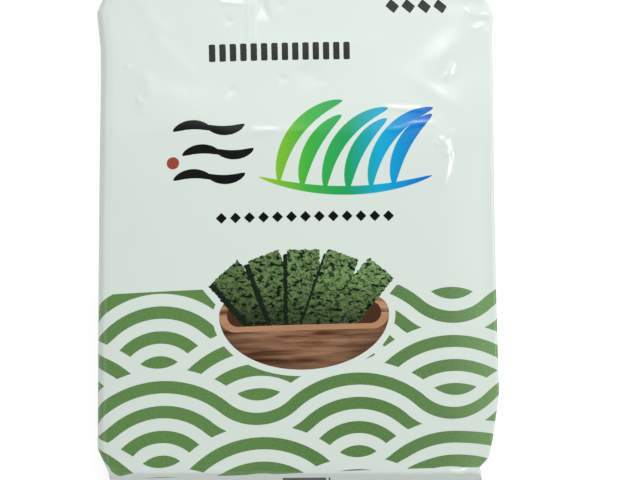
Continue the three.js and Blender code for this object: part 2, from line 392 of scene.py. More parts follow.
def film_tube(name, points, girth, length):
    """A closed tube from rows of points, with a fan of triangles over each end. A point's place on the flat
    film is its distance around the tube and along it."""
    rows, columns, _ = points.shape
    ends = np.stack([points[0].mean(0), points[-1].mean(0)])
    r, c = np.meshgrid(np.arange(rows - 1), np.arange(columns), indexing="ij")
    after = (c + 1) % columns
    row, next_row = r * columns, (r + 1) * columns
    quads = np.stack([row + c, row + after, next_row + after, next_row + c], 2)
    u = np.stack([girth[c], girth[c + 1], girth[c + 1], girth[c]], 2)
    v = np.stack([length[r], length[r], length[r + 1], length[r + 1]], 2)
    ring = np.arange(columns)
    after = (ring + 1) % columns
    last = (rows - 1) * columns
    fans = np.concatenate([
        np.stack([after, ring, np.full(columns, rows * columns)], 1),
        np.stack([last + ring, last + after, np.full(columns, rows * columns + 1)], 1),
    ])
    fan_uv = np.zeros((2 * columns * 3, 2))
    fan_uv[:, 1] = np.repeat([length[0], length[-1]], columns * 3)
    faces = quads.reshape(-1, 4).tolist() + fans.tolist()
    uv = np.concatenate([np.stack([u, v], 3).reshape(-1, 2), fan_uv])
    return film_piece(name, np.concatenate([points.reshape(-1, 3), ends]), faces, uv)


def rows_along(*stretches):
    """Places along the pack in even steps. A stretch is its start and its number of steps, and the last is
    only the end."""
    places = [np.linspace(a[0], b[0], a[1], endpoint=False) for a, b in zip(stretches, stretches[1:])]
    return np.concatenate([*places, stretches[-1]])


# Rows of points along the pack, closest where most creases are. The body reaches a little into the seals.
BODY_END = ROOT + 0.3 * mm
along = rows_along(
    (-BODY_END, 30), (-FOLD, 13), (-46 * mm, 66), (-5 * mm, 150), (46 * mm, 13), (FOLD, 30), (BODY_END,))
points = film_points(along)
middle = points[len(along) // 2]
steps = np.linalg.norm(np.diff(np.concatenate([middle, middle[:1]]), axis=0), axis=1)
girth = np.concatenate([[0], np.cumsum(steps)])
front_column = half_outline(along[:1], np.array([BACK_WIDTH / 2]), LEFT_RADIUS)[0].shape[1] - 1
girth = (girth - girth[front_column]) / mm
front, _ = heights(along)
length = np.concatenate([[0], np.cumsum(np.hypot(np.diff(along), np.diff(front)))])
length = (length - np.interp(0, along, length)) / mm
lift = relief(*np.meshgrid(girth[:-1], length)) * mm
points = points + normals(points) * lift[:, :, None]
points[:, :, 2] = np.maximum(points[:, :, 2], 0)

body = film_tube("film_body", points, girth, length)


# The print
# Inks on the inside of the clear outer layer: waves over the lower part, all the way round, and on the front
# a bowl of seaweed strips, a spray of fronds, ink ripples and rows of small marks. Positions are millimetres
# on the flat film from the middle of the front: across to the right, and up.
PALE_FILM = (0.628, 0.70, 0.652)
WAVE_GREEN = (0.100, 0.205, 0.062)
BLACK_INK = (0.004, 0.005, 0.005, 1)
RED_INK = (0.30, 0.055, 0.028, 1)
WAVE_LENGTH = 39.7
RIBBON_STEP = 5.0  # from one ribbon to the next, half ribbon and half gap
WAVE_DEPTH = 7.5
TROUGH_RADIUS = 9.3
WAVE_CREST = (-27.8, -29.4)
WAVE_BAND = (-49.7, -11.45)
HALO = 1.3  # the waves stop this far from the bowl
TURN = 0.0374  # the film sits on the tray turned by two degrees at this height, less above it and more below
TURN_GROWTH = 0.00064
TURN_HEIGHT = -30.6
LEAST_TURN = 0.0175
LEAN = 0.016
SAG = 0.00046
STRETCH = 0.00038
CORNER_PULL = 0.042  # the film is drawn outwards over the tray's lower right corner
MOST_PULL = 1.0
PULL_ROWS = (-38.0, -46.0)
CORNER_LIFT = 0.018  # and the waves are drawn up along both edges above the lower corners
LIFT_START = 32.5
RIGHT_ROWS, LEFT_ROWS = (-26.0, -34.0), (-40.0, -46.0)
FRONT_HALF = 42.0


class Number:
    """A number that varies over a surface: a node's output, on which sums are written as on numbers."""

    def __init__(self, tree, socket):
        self.tree, self.socket = tree, socket

    def calc(self, operation, *others):
        """The result of one Math node on this number and the others."""
        node = self.tree.nodes.new("ShaderNodeMath")
        node.operation = operation
        for socket, value in zip(node.inputs, (self, *others)):
            feed(socket, value)
        return Number(self.tree, node.outputs[0])

    __add__ = __radd__ = partialmethod(calc, "ADD")
    __sub__ = partialmethod(calc, "SUBTRACT")
    __rsub__ = partialmethod(calc, "MULTIPLY_ADD", -1.0)
    __mul__ = __rmul__ = partialmethod(calc, "MULTIPLY")
    __truediv__ = partialmethod(calc, "DIVIDE")
    __lt__ = partialmethod(calc, "LESS_THAN")
    __gt__ = partialmethod(calc, "GREATER_THAN")
    __abs__ = partialmethod(calc, "ABSOLUTE")


def feed(socket, value):
    """Gives a socket its value: a varying number, another node's output, or a plain number or vector."""
    if isinstance(value, Number):
        value = value.socket
    if isinstance(value, bpy.types.NodeSocket):
        socket.id_data.links.new(value, socket)
    else:
        socket.default_value = value


def new_node(tree, kind, **inputs):
    """A new shader node with its inputs set."""
    node = tree.nodes.new("ShaderNode" + kind)
    for label, value in inputs.items():
        feed(node.inputs[label], value)
    return node


def root(value):
    """The square root, and 0 for a value less than 0."""
    return value.calc("MAXIMUM", 0.0).calc("SQRT")


def span(x, y):
    """The distance across a right angle: the root of x squared plus y squared."""
    return root(x * x + y * y)


def mixed(kind, share, first, second):
    """A Mix node of a kind, FLOAT or RGBA: first where share is 0 and second where it is 1."""
    node = share.tree.nodes.new("ShaderNodeMix")
    node.data_type = kind
    one, other, result = {"FLOAT": (2, 3, 0), "RGBA": (6, 7, 2)}[kind]
    for socket, value in ((0, share), (one, first), (other, second)):
        feed(node.inputs[socket], value)
    return node.outputs[result]


def pick(share, first, second):
    """A varying number: first where share is 0 and second where it is 1."""
    return Number(share.tree, mixed("FLOAT", share, first, second))


def combined(operation, numbers):
    """The MAXIMUM or the MINIMUM of some varying numbers."""
    return reduce(lambda found, number: found.calc(operation, number), numbers)


def clamped(value, low, high):
    """A varying number kept between two limits."""
    return value.calc("MAXIMUM", low).calc("MINIMUM", high)


def parts(tree, pair):
    """A vector's first two numbers."""
    node = new_node(tree, "SeparateXYZ", Vector=pair)
    return Number(tree, node.outputs[0]), Number(tree, node.outputs[1])


def vector(x, y):
    """A vector with its first two numbers given."""
    return new_node(x.tree, "CombineXYZ", X=x, Y=y).outputs[0]


def noise(tree, place, size, detail=2.0, stretch=1):
    """Noise between 0 and 1 with lumps of about the given size, stretched along the first axis."""
    mapping = new_node(tree, "Mapping", Vector=place, Scale=(1 / stretch, 1, 1))
    node = new_node(tree, "TexNoise", Vector=mapping.outputs[0], Scale=1 / size, Detail=detail)
    return Number(tree, node.outputs["Fac"])


def new_group(name, vectors, numbers, results):
    """An empty node group with vectors and numbers as inputs and numbers as results, and its two ends."""
    tree = bpy.data.node_groups.new(name, "ShaderNodeTree")
    for label in vectors + numbers:
        kind = "NodeSocketVector" if label in vectors else "NodeSocketFloat"
        tree.interface.new_socket(label, in_out="INPUT", socket_type=kind)
    for label in results:
        tree.interface.new_socket(label, in_out="OUTPUT", socket_type="NodeSocketFloat")
    given = tree.nodes.new("NodeGroupInput").outputs
    given = {label: Number(tree, given[label]) for label in vectors + numbers}
    return tree, given, tree.nodes.new("NodeGroupOutput").inputs


def place_group(tree, group, **values):
    """Places a node group in a tree with its inputs set, and gives its first output."""
    node = tree.nodes.new("ShaderNodeGroup")
    node.node_tree = group
    for label, value in values.items():
        feed(node.inputs[label], value)
    return Number(tree, node.outputs[0])


def wave_group():
    """Ribbons of overlapping waves. A ribbon's upper edge is an arc over each crest and an arc under each
    trough, which meet with one slope. Rows of four ribbons follow each other downwards, and between them lie
    rows half a wave to the side; each row hides what is behind it. Ink is 1 on a ribbon and 0 in a gap."""
    tree, given, result = new_group("wave_ribbons", [], ["Across", "Down"], ["Ink"])
    half = WAVE_LENGTH / 2
    gap = RIBBON_STEP / 2
    centres = (half**2 + WAVE_DEPTH**2) / (2 * WAVE_DEPTH)  # between the crest's and the trough's centre
    crest = centres - TROUGH_RADIUS
    trough_y = WAVE_DEPTH - TROUGH_RADIUS
    turn = half * (crest + gap) / centres
    row = 4 * RIBBON_STEP

    def gap_line(f):
        """How far down the gap over a row's first ribbon begins: first on the crest's arc, past the turn on
        the trough's."""
        over = crest - root((crest + gap) ** 2 - f * f)
        under = trough_y + root((TROUGH_RADIUS - gap) ** 2 - (half - f) * (half - f))
        return pick(f > turn, over, under)

    def row_top(f, start):
        """How far down the row begins that a place belongs to, one row beginning at start."""
        return ((given["Down"] - gap_line(f) - start) / row).calc("FLOOR") * row + start

    first = given["Across"].calc("PINGPONG", half)
    second = half - first
    first_top, second_top = row_top(first, 0.0), row_top(second, row / 2 + gap)
    f = pick(second_top > first_top, first, second)
    v = given["Down"] - first_top.calc("MAXIMUM", second_top)
    on_crest = crest - span(f, v - crest)
    on_trough = span(half - f, v - trough_y) - TROUGH_RADIUS
    depth = pick((v - crest) * half < f * (trough_y - crest), on_trough, on_crest)
    feed(result["Ink"], (depth.calc("FLOORED_MODULO", RIBBON_STEP) < gap) * (depth > 0.0))
    return tree


def stroke_group():
    """A brush stroke along an arc of a circle, from one angle through a sweep, in turns. It comes to a point
    at both ends: its half width goes with (4 t (1 - t))^0.6, t being the share of the arc."""
    tree, given, result = new_group(
        "brush_stroke", ["Place", "Centre"], ["Radius", "Start", "Sweep", "Width"], ["Ink"])
    x, y = parts(tree, given["Place"])
    centre_x, centre_y = parts(tree, given["Centre"])
    x, y = x - centre_x, y - centre_y
    angle = y.calc("ARCTAN2", x) / (2 * np.pi)
    share = (angle - given["Start"]).calc("FLOORED_MODULO", 1.0) / given["Sweep"]
    taper = (share * (1.0 - share) * 4.0).calc("MAXIMUM", 0.0).calc("POWER", 0.6)
    feed(result["Ink"], abs(span(x, y) - given["Radius"]) < taper * given["Width"])
    return tree


def box_group():
    """How far a place lies outside a turned rectangle with round corners: less than 0 inside it. The turn is
    in turns and Half is half its width and half its height."""
    tree, given, result = new_group(
        "round_box", ["Place", "Centre", "Half"], ["Turn", "Corner"], ["Distance"])
    node = new_node(tree, "VectorRotate", Vector=given["Place"], Center=given["Centre"],
                    Angle=given["Turn"] * (-2 * np.pi))
    node.rotation_type = "Z_AXIS"
    x, y = parts(tree, node.outputs[0])
    centre_x, centre_y = parts(tree, given["Centre"])
    half_x, half_y = parts(tree, given["Half"])
    out_x = abs(x - centre_x) - (half_x - given["Corner"])
    out_y = abs(y - centre_y) - (half_y - given["Corner"])
    inside = out_x.calc("MAXIMUM", out_y).calc("MINIMUM", 0.0)
    outside = span(out_x.calc("MAXIMUM", 0.0), out_y.calc("MAXIMUM", 0.0))
    feed(result["Distance"], inside + outside - given["Corner"])
    return tree


def mark_row_group():
    """Count equal round boxes in a row, all turned alike and one Pitch apart. Ink is 1 on them."""
    tree, given, result = new_group(
        "mark_row", ["Place", "Start", "Half"], ["Count", "Pitch", "Turn", "Corner"], ["Ink"])
    x, y = parts(tree, given["Place"])
    start_x, start_y = parts(tree, given["Start"])
    x, y = x - start_x, y - start_y
    cell = (x / given["Pitch"]).calc("FLOOR")
    local = vector(x - (cell + 0.5) * given["Pitch"], y)
    distance = place_group(tree, boxes, Place=local, Turn=given["Turn"], Half=given["Half"],
                           Corner=given["Corner"])
    feed(result["Ink"], (distance < 0.0) * (cell > -0.5) * (cell < given["Count"] - 0.5))
    return tree


# The laminate's grain, crinkles, dull patches and mottles, in millimetres.
GRAIN_SIZE, GRAIN_HEIGHT = 0.9, 0.004
CRINKLE_SIZE = 7.0
PATCH_SIZE, PATCH_ROUGHNESS = 12.0, 0.06
MOTTLE_SIZE = 0.45
COAT_WEIGHT, COAT_ROUGHNESS = 0.3, 0.07


def surface_group():
    """The laminate's own unevenness: Height in millimetres, from a fine orange-peel grain and faint
    crinkles; Roughness, which varies slowly; and Shade, fine mottling between about -0.5 and 0.5."""
    tree, given, result = new_group(
        "laminate_surface", ["Place"], ["Roughness", "Crinkle"], ["Height", "Roughness", "Shade"])
    place = given["Place"]
    grain = noise(tree, place, GRAIN_SIZE, 3.0) * GRAIN_HEIGHT
    crinkle = abs(noise(tree, place, CRINKLE_SIZE) - 0.5) * given["Crinkle"]
    feed(result["Height"], grain + crinkle)
    patches = (noise(tree, place, PATCH_SIZE, 3.0) - 0.5) * PATCH_ROUGHNESS
    feed(result["Roughness"], given["Roughness"] + patches)
    feed(result["Shade"], noise(tree, place, MOTTLE_SIZE, 3.0) - 0.5)
    return tree


waves, strokes, boxes, surface = wave_group(), stroke_group(), box_group(), surface_group()
mark_rows = mark_row_group()


def film_material(name, roughness, crinkle):
    """A laminate with its surface fed in: gives the material, its shader, the place on the flat film and
    the mottling's shade."""
    material = bpy.data.materials.new(name)
    material.use_nodes = True
    tree = material.node_tree
    shader = tree.nodes["Principled BSDF"]
    uv = new_node(tree, "UVMap")
    uv.uv_map = "film"
    place = uv.outputs[0]
    height = place_group(tree, surface, Place=place, Roughness=roughness, Crinkle=crinkle)
    found = height.socket.node.outputs
    feed(shader.inputs["Normal"], new_node(tree, "Bump", Distance=mm, Height=height).outputs[0])
    feed(shader.inputs["Roughness"], found["Roughness"])
    feed(shader.inputs["Coat Weight"], COAT_WEIGHT)
    feed(shader.inputs["Coat Roughness"], COAT_ROUGHNESS)
    return material, shader, place, Number(tree, found["Shade"])


def shaded(shade, colour):
    """A colour multiplied by a varying shade."""
    node = new_node(shade.tree, "VectorMath", Vector=colour)
    node.operation = "SCALE"
    feed(node.inputs["Scale"], shade)
    return node.outputs[0]


def within(value, start, end):
    """0 where a varying number is at start, 1 where it is at end, even between and level beyond them."""
    return clamped((value - start) / (end - start), 0.0, 1.0)


def growing(value, rises):
    """A sum of even rises, each from its start to its end by its amount."""
    return sum(within(value, start, end) * amount for start, end, amount in rises)


def printed(share, under, over):
    """A colour with another printed over it where share is 1."""
    return mixed("RGBA", share, under, over)


def box_at(place, centre, half, corner, turn=0.0):
    """How far a place lies outside a round box with the given centre, half sizes, corner and turn."""
    return place_group(place.id_data, boxes, Place=place, Centre=(*centre, 0), Half=(*half, 0),
                       Corner=corner, Turn=turn)


def stroke_at(place, centre, radius, start, sweep, width):
    """The ink of a brush stroke along an arc with the given centre, radius, start, sweep and half width."""
    return place_group(place.id_data, strokes, Place=place, Centre=(*centre, 0), Radius=radius,
                       Start=start, Sweep=sweep, Width=width)


def fill_ramp(ramp, stops):
    """Gives a colour ramp its stops, each a position and a colour."""
    elements = ramp.color_ramp.elements
    for n, (position, colour) in enumerate(stops):
        stop = elements[n] if n < 2 else elements.new(position)
        stop.position, stop.color = position, colour


def print_place(tree, flat):
    """Where a place on the flat film lies in the print, and how far up the waves are drawn there. The web
    drifted a little as it was wrapped, so the print is turned, leans and sags by small amounts."""
    x, y = parts(tree, flat)
    near = clamped(x, -FRONT_HALF, FRONT_HALF)
    square = near * near
    past = y - TURN_HEIGHT
    turn = (TURN - past * TURN_GROWTH).calc("MAXIMUM", LEAST_TURN)
    pull = clamped(x * CORNER_PULL, 0.0, MOST_PULL) * within(y, *PULL_ROWS)
    right = (near - LIFT_START).calc("MAXIMUM", 0.0)
    left = (-LIFT_START - near).calc("MAXIMUM", 0.0)
    lift = right * right * within(y, *RIGHT_ROWS) + left * left * within(y, *LEFT_ROWS)
    return x + square * STRETCH + past * LEAN - pull, y + square * SAG - turn * x, lift * CORNER_LIFT


printed_film, shader, flat, shade = film_material("printed_film", roughness=0.15, crinkle=0.02)
tree = shade.tree
across, up, corner_lift = print_place(tree, flat)
place = vector(across, up)

# A bowl seen from a little above: its rim and hollow are long round shapes, and strips fan up out of it.
BOWL = (1.5, -17.0)
BOWL_HALF = (17.2, 3.4)
HOLLOW_HALF = (15.6, 2.3)
BOWL_DEPTH = 11.5
STRIP_HALF = (3.3, 9.0)
STRIP_CORNER = 0.3
STRIP_LEAN = 0.055
STRIP_STEP = 5.08
STRIP_RISE = 4.0  # the middle strip's centre lies this far over the rim's
STRIP_FALL = 0.457  # and the others lie this much lower, times the square of their number from it
WOOD_LIGHT = (0.50, 0.27, 0.155, 1)
WOOD_DARK = (0.115, 0.040, 0.015, 1)
HOLLOW_BROWN = (0.060, 0.024, 0.012, 1)
LEAF_LIGHT = (0.195, 0.32, 0.120, 1)
LEAF_MIDDLE = (0.052, 0.098, 0.030, 1)
LEAF_DARK = (0.005, 0.011, 0.007, 1)
LEAF_EDGE = 0.85  # the stacked layers show this far past a strip's face, below it and to its left
RAGGED, RAGGED_SIZE = 0.9, 0.6  # a strip's edge wanders by up to half of this either way

rim = box_at(place, BOWL, BOWL_HALF, BOWL_HALF[1])
hollow = box_at(place, BOWL, HOLLOW_HALF, HOLLOW_HALF[1])
wall = span((across - BOWL[0]) / BOWL_HALF[0], (up - BOWL[1]) / BOWL_DEPTH)
wall_ink = (wall < 1.0) * (up < BOWL[1])
fray = (noise(tree, place, RAGGED_SIZE) - 0.5) * RAGGED
strips, layers = [], []
for n in range(-2, 3):
    x = BOWL[0] + STRIP_STEP * n
    y = BOWL[1] + STRIP_RISE - STRIP_FALL * n * n
    for kept, shift in ((strips, 0), (layers, LEAF_EDGE)):
        kept.append(box_at(place, (x - shift, y - shift), STRIP_HALF, STRIP_CORNER, -n * STRIP_LEAN))
picture = combined("MINIMUM", [rim, *strips, *layers])
wide_wall = span((across - BOWL[0]) / (BOWL_HALF[0] + HALO), (up - BOWL[1]) / (BOWL_DEPTH + HALO))
halo = (picture > HALO) * ((wide_wall > 1.0) + (up > BOWL[1])).calc("MINIMUM", 1.0)

# The waves' ink is mottled. Towards the right edge it carries a painted sheen: paper colour is mixed into it
# and it is made paler. It is also a little paler over the left half.
PAPER_MOTTLE, INK_MOTTLE = 0.03, 0.7
PAINTED_SHEEN_PAPER = [(16.0, 32.0, 0.04), (31.0, 40.0, 0.02)]  # start and end across the film, and how much
PALER_INK_AND_SHEEN = [(2.0, -12.0, 0.09), (31.0, 40.0, 0.35)]
band = (up > WAVE_BAND[0]) * (up < WAVE_BAND[1])
ribbons = place_group(tree, waves, Across=across - WAVE_CREST[0], Down=WAVE_CREST[1] - up + corner_lift)
paper = shaded(1.0 + shade * PAPER_MOTTLE, PALE_FILM)
# painted sheen: the green is made paler and mixed with paper colour towards the right edge, and it is a
# little paler over the left half
green = shaded(1.0 + shade * INK_MOTTLE + growing(across, PALER_INK_AND_SHEEN), WAVE_GREEN)
colour = printed(band * ribbons * halo * (1.0 - growing(across, PAINTED_SHEEN_PAPER)), paper, green)

# Each strip shows its own part of one mat of fibres: thin bright threads that cross at three angles over a
# green ground with dark gaps. A length is in widths; a noise pair is where a colour starts and is full.
MAT_STEP = (17.0, 9.0)  # from one strip's part of the mat to the next one's
FIBRE_TURNS = (0.35, 1.25, 2.5)
FIBRE_SIZE, FIBRE_LENGTH, FIBRE_NOISE = 0.75, 4, (0.060, 0.0)
CLUMP_SIZE, CLUMP_LENGTH = 0.8, 1.6
GROUND_NOISE, THREAD_NOISE = (0.41, 0.51), (0.36, 0.50)
LAYER_THREADS = 0.12
SHADE_AT_FOOT, SHADE_RISE = 0.30, (BOWL[1] - 1.5, BOWL[1] + 7.5, 0.75)
FIRST_SHADE, SHADE_STEP = 0.61, 0.11  # each strip is lighter than the one to its left
WOOD_SIZE, WOOD_LENGTH, WOOD_NOISE = 1.3, 9, (0.34, 0.66)
WALL_SHADE, WALL_DARKENING = 0.80, 0.42

sheet_number = 0.0
for n, strip in enumerate(strips):
    sheet_number = pick(strip < fray, sheet_number, float(n))
mat = vector(across + sheet_number * MAT_STEP[0], up + sheet_number * MAT_STEP[1])
threads = []
for turn in FIBRE_TURNS:
    turned = new_node(tree, "Mapping", Vector=mat, Rotation=(0, 0, turn)).outputs[0]
    fibres = noise(tree, turned, FIBRE_SIZE, 1.0, FIBRE_LENGTH)
    threads.append(within(abs(fibres - 0.5), *FIBRE_NOISE))
threads = combined("MAXIMUM", threads)
matted = noise(tree, mat, CLUMP_SIZE, 2.0, CLUMP_LENGTH)
leaf_colour = printed(within(matted, *GROUND_NOISE), LEAF_DARK, LEAF_MIDDLE)
leaf_colour = printed(threads * within(matted, *THREAD_NOISE), leaf_colour, LEAF_LIGHT)
layer_colour = printed(threads * LAYER_THREADS, LEAF_DARK, LEAF_MIDDLE)
leaf_shade = (SHADE_AT_FOOT + growing(up, [SHADE_RISE])) * (FIRST_SHADE + sheet_number * SHADE_STEP)
leaf_colour = shaded(leaf_shade, leaf_colour)
grain = noise(tree, place, WOOD_SIZE, 5.0, WOOD_LENGTH)
wood = printed(within(grain, *WOOD_NOISE), WOOD_DARK, WOOD_LIGHT)
colour = printed(rim < 0.0, colour, wood)
colour = printed(hollow < 0.0, colour, HOLLOW_BROWN)
for strip, layer in zip(strips, layers):
    colour = printed(layer < fray, colour, layer_colour)
    colour = printed(strip < fray, colour, leaf_colour)
front_wall = wall_ink * (hollow > 0.0)
round_wall = shaded(WALL_SHADE - wall * wall * WALL_DARKENING, wood)
colour = printed(front_wall, colour, round_wall)
rim_front = (rim < 0.0) * (hollow > 0.0) * (up < BOWL[1])
colour = printed(rim_front, colour, printed(grain * 0.5, WOOD_LIGHT, WOOD_DARK))

# A spray of fronds whose colour runs from lime through green to blue, and ripples in black brush strokes.
FROND_COLOURS = [
    (0.0, (0.30, 0.52, 0.010, 1)), (0.28, (0.045, 0.40, 0.045, 1)), (0.5, (0.012, 0.33, 0.10, 1)),
    (0.68, (0.005, 0.36, 0.60, 1)), (1.0, (0.003, 0.075, 0.52, 1)),
]
FROND_START, FROND_END = -8.0, 30.0
BED_CENTRE, BED_RADIUS, BED_SWEEP, BED_WIDTH = (10.5, 61.6), 53.6, 0.108, 0.9
BLADES, BLADE_START, BLADE_STEP = 6, -3.2, 4.7
BLADE_RADIUS, BLADE_SWEEP, BLADE_WIDTH = 17.0, 0.215, 1.45
SHORT_BLADE = 0.05  # every second blade's sweep is less by this
RIPPLES, RIPPLE_STEP, RIPPLE_SHIFT = (-20.6, 21.4), (6.6, 5.0), 1.8  # every second row is shifted
RIPPLE_RADIUS, RIPPLE_SWEEP, RIPPLE_BOW, RIPPLE_WIDTH = 7.0, 0.19, 0.7, 0.95
DOT, DOT_RADIUS = (-24.6, 14.4), 1.25

ramp = new_node(tree, "ValToRGB", Fac=(across - FROND_START) / (FROND_END - FROND_START))
fill_ramp(ramp, FROND_COLOURS)
fronds = [stroke_at(place, BED_CENTRE, BED_RADIUS, 0.75 - BED_SWEEP / 2, BED_SWEEP, BED_WIDTH)]
for n in range(BLADES):
    x = BLADE_START + BLADE_STEP * n
    foot = BED_CENTRE[1] - (BED_RADIUS**2 - (x - BED_CENTRE[0]) ** 2) ** 0.5
    sweep = BLADE_SWEEP - SHORT_BLADE * (n % 2)
    fronds.append(stroke_at(place, (x + BLADE_RADIUS, foot), BLADE_RADIUS, 0.5 - sweep, sweep, BLADE_WIDTH))
colour = printed(combined("MAXIMUM", fronds), colour, ramp.outputs[0])

ripples = []
for row in range(3):
    for n, (side, start) in enumerate([(-1, 0.25), (1, 0.75)]):
        x = RIPPLES[0] + RIPPLE_STEP[0] * n + RIPPLE_SHIFT * (row % 2)
        y = RIPPLES[1] - RIPPLE_STEP[1] * row + side * (RIPPLE_RADIUS - RIPPLE_BOW)
        ripples.append(stroke_at(
            place, (x, y), RIPPLE_RADIUS, start - RIPPLE_SWEEP / 2, RIPPLE_SWEEP, RIPPLE_WIDTH))
colour = printed(combined("MAXIMUM", ripples), colour, BLACK_INK)
dot = box_at(place, DOT, (DOT_RADIUS, DOT_RADIUS), DOT_RADIUS)
colour = printed(dot < 0.0, colour, RED_INK)

# Rows of marks: start, count, pitch, turn, half width and half height, corner.
MARK_ROWS = [
    ((-17.5, 36.6), 14, 2.12, 0.0, (0.66, 1.8), 0.3),
    ((-16.4, 2.8), 13, 2.84, 0.125, (0.8, 0.8), 0.15),
    ((19.4, 45.7), 4, 3.4, 0.125, (1.05, 1.05), 0.2),
]
# The eye mark, which tells the wrapping machine where to cut, and a thin line beside it.
EYE_MARK, EYE_MARK_HALF, EYE_MARK_CORNER = (1.5, -56.8), (4.6, 5.4), 0.3
TICK, TICK_HALF = (6.8, -56.8), (0.2, 5.4)

marks = [box_at(flat, EYE_MARK, EYE_MARK_HALF, EYE_MARK_CORNER) < 0.0]
marks.append(box_at(flat, TICK, TICK_HALF, 0.0) < 0.0)
for start, count, pitch, turn, half, corner in MARK_ROWS:
    marks.append(place_group(tree, mark_rows, Place=place, Start=(*start, 0), Count=count, Pitch=pitch,
                             Turn=turn, Half=(*half, 0), Corner=corner))
colour = printed(combined("MAXIMUM", marks), colour, BLACK_INK)
feed(shader.inputs["Base Color"], colour)

body.data.materials.append(printed_film)
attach(body, "root")
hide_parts("film_pack")


# The end seals
# At each end the front, the back and the tucked sides are welded flat between heated jaws, which press six
# ribs across the pack and cut the zigzag edge. The weld hangs down a little.
RIBS = 6
RIB_PITCH = 1.5 * mm
RIB_HEIGHT = 0.45 * mm
RIB_START = 0.5 * mm
TEETH = 52
TOOTH_DEPTH = 0.9 * mm
SEAL_DROOP = 1.5 * mm
LAYER = 0.06 * mm  # one film layer, a little thicker than the real 0.05 mm
LAYER_STEP = 0.2 * mm  # the thickness changes over this much
SEAL_WAVES = (0.5 * mm, 32)
SEAL_FOLDS, SEAL_FOLD_SPREAD = 7, 34 * mm
FIN_WIDTH = 9.5 * mm
SEAL_INSET = 0.6 * mm  # how far the weld reaches into the body


def film_sheet(name, top, bottom, place):
    """A closed thin piece from two grids of points, its top and its bottom, joined round their rims. Rows go
    along the pack and columns across it. Its UV map holds each point's place in millimetres."""
    rows, columns, _ = top.shape
    index = np.arange(rows * columns).reshape(rows, columns)
    count = rows * columns
    upper = np.stack([index[:-1, :-1], index[:-1, 1:], index[1:, 1:], index[1:, :-1]], 2).reshape(-1, 4)
    ring = np.concatenate([index[0, :-1], index[:-1, -1], index[-1, :0:-1], index[:0:-1, 0]])
    after = np.roll(ring, -1)
    faces = np.concatenate([
        upper, upper[:, ::-1] + count, np.stack([ring, ring + count, after + count, after], 1),
    ])
    uv = np.tile(place.reshape(-1, 2), (2, 1))[faces.ravel()]
    piece = film_piece(name, np.concatenate([top.reshape(-1, 3), bottom.reshape(-1, 3)]), faces.tolist(), uv)
    piece.data.set_sharp_from_angle(angle=np.radians(60))
    return piece


def end_seal(name, sign, seed):
    """One end seal. Its depth follows a triangle wave across the pack; its height is a sine wave of the
    distance from the root, less a droop that grows with the square of it, plus soft waves and pinched folds.
    Its thickness steps with the number of layers: two in the middle, four where the sides are tucked in, and
    two more below where the fin is caught."""
    x = np.linspace(-SEAL_WIDTH / 2, SEAL_WIDTH / 2, 4 * TEETH + 1)[None, :]
    share = np.linspace(0, 1, 9 * RIBS + 1)[:, None]
    tooth = abs((x / SEAL_WIDTH + 0.5) * TEETH % 1 - 0.5) * 2
    out = mix(-SEAL_INSET, SEAL_DEPTH - TOOTH_DEPTH * tooth, share)
    ribs_end = RIB_START + RIBS * RIB_PITCH
    ribbed = rise(out, 0, RIB_START) * (1 - rise(out, ribs_end, ribs_end + RIB_START))
    rib = RIB_HEIGHT / 2 * np.sin(2 * np.pi * (out - RIB_START) / RIB_PITCH) * ribbed
    slack = rise(out, 0, SEAL_DEPTH)
    wave = billow(x / mm + 0 * out, out / mm, *SEAL_WAVES, seed) * slack
    draw = np.random.RandomState(seed)
    for _ in range(SEAL_FOLDS):
        at, height = draw.uniform(-1, 1) * SEAL_FOLD_SPREAD, draw.uniform(0.1, 0.3) * mm
        lean, width = draw.uniform(-0.25, 0.25), draw.uniform(0.5, 1.1) * mm
        wave = wave + height * np.exp(-(((x - at - lean * out) / width) ** 2)) * rise(out, 0, 2 * mm)
    z = SEAL_HEIGHT - SEAL_DROOP * np.clip(out / SEAL_DEPTH, 0, 1) ** 2 + rib + wave
    tuck_edge = SEAL_WIDTH / 2 - TUCK_DEPTH
    layers = 2 + 2 * rise(abs(x), tuck_edge - LAYER_STEP, tuck_edge + LAYER_STEP)
    under = layers + 2 * rise(x, -FIN_WIDTH - LAYER_STEP, -FIN_WIDTH) * (1 - rise(x, -LAYER_STEP, 0))
    xs, ys = x + 0 * z, sign * (ROOT + out)
    top = np.stack([xs, ys, z + layers * LAYER / 2], 2)
    bottom = np.stack([xs, ys, z - under * LAYER / 2], 2)
    place = np.stack([xs / mm, sign * (length[-1] + out / mm)], 2)
    order = slice(None, None, sign)
    piece = film_sheet(name, top[order], bottom[order], place[order])
    piece.data.materials.append(plain_film)
    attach(piece, "root")
    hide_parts("film_pack")


plain_film, plain_shader, _, plain_shade = film_material("plain_film", roughness=0.22, crinkle=0.01)
feed(plain_shader.inputs["Base Color"], shaded(1.0 + plain_shade * PAPER_MOTTLE, PALE_FILM))
end_seal("seal_top", 1, 12)
end_seal("seal_bottom", -1, 17)


# The back seam
# The web's two edges are welded together into a flat fin with lines pressed along it, which is folded over
# against the back and caught in both end seals.
FIN_THICKNESS = 0.28 * mm
FIN_GAP = 0.04 * mm
FIN_LINES = 5
FIN_LINE_DEPTH = 0.05 * mm
FIN_LINES_START = (0.8 * mm, 1.4 * mm)
FIN_FOLD = 0.6 * mm  # where the fin leaves the back
FIN_WAVES = (0.05 * mm, 21, 4)
FIN_TAPER, FIN_THINNING = 3 * mm, 0.7
FIN_END = ROOT + 0.5 * mm  # the seals hold its ends

